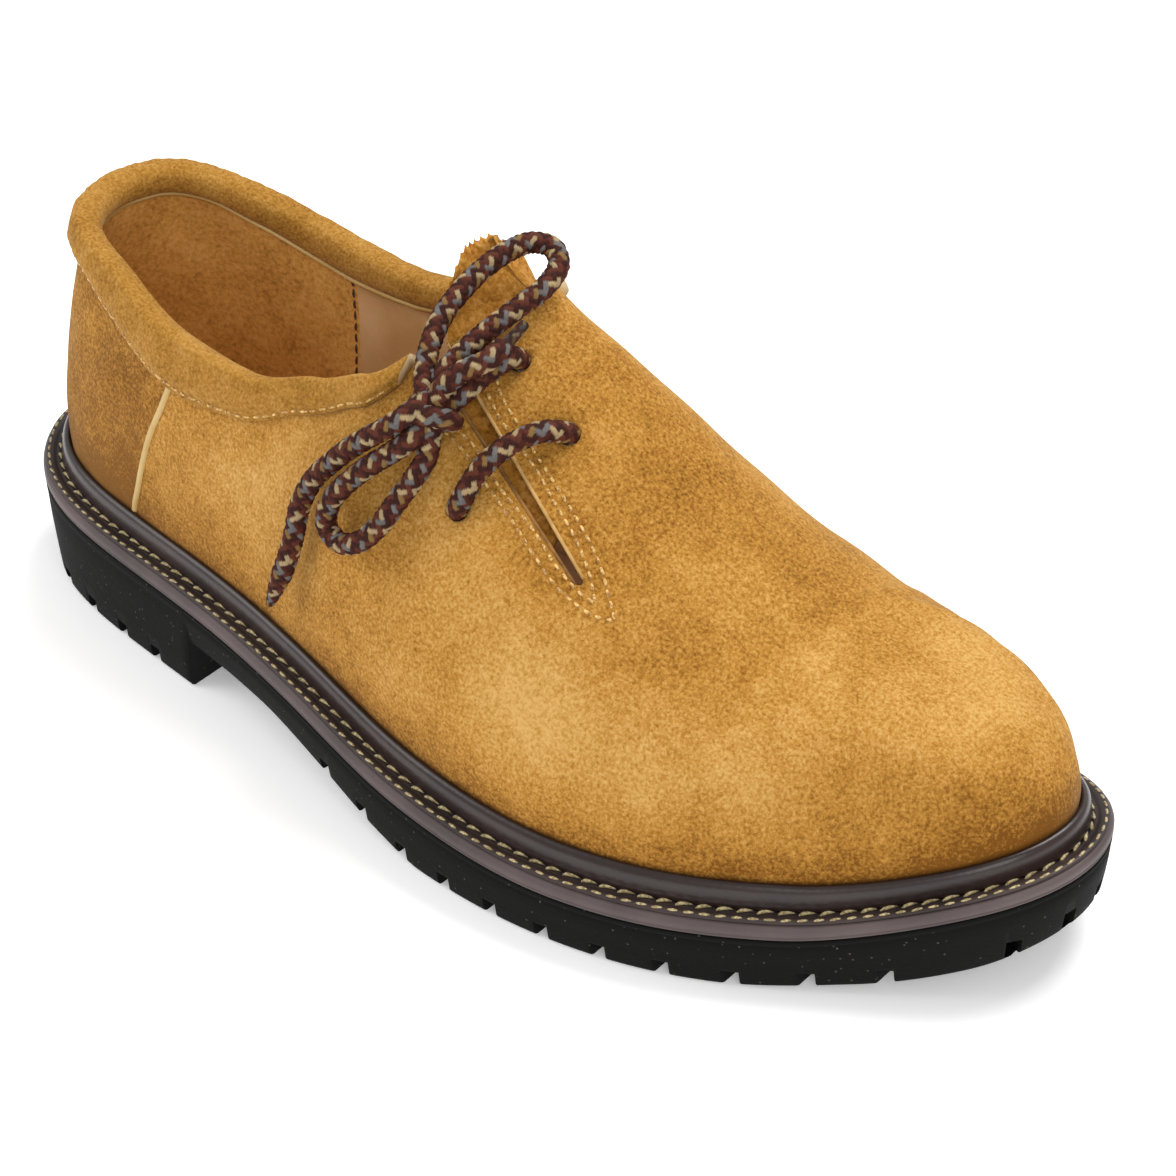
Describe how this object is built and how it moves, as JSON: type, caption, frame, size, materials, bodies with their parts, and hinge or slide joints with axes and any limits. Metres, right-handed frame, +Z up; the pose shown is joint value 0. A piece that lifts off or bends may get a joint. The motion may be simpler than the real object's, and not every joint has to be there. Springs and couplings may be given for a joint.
{
  "type": "haferl shoe",
  "caption": "Right haferl shoe of suede with a rolled collar band, side lacing over a slit in the vamp, heel panel piping, storm welt, midsole and lugged rubber sole.",
  "frame": {"origin": "On the ground under the centre of the sole's bounding box", "axes": "+X from heel to toe, +Y to the inner (big toe) side, +Z up"},
  "size_m": [0.306, 0.1171, 0.1268],
  "materials": {
    "rubber": "dull moulded rubber with fine light specks",
    "midsole": "smooth brown-grey layer",
    "welt": "smooth, polished dark brown",
    "insole": "smooth tan leather",
    "suede": "brushed suede nap",
    "tongue_suede": "rough suede",
    "collar_suede": "brushed suede nap",
    "piping": "light folded leather strip",
    "lace": "round braid of mixed brown and pale yarns"
  },
  "bodies": {
    "root": {"outsole": "rubber", "midsole": "midsole", "welt": "welt", "insole": "insole", "upper": "suede", "tongue": "tongue_suede", "collar_band": "collar_suede", "piping_lateral": "piping", "piping_medial": "piping", "lace_bar_lower": "lace", "lace_bar_upper": "lace", "lace_knot": "lace", "lace_loop_upper": "lace", "lace_loop_lower": "lace", "lace_end_upper": "lace", "lace_end_lower": "lace"}
  },
  "joints": []
}
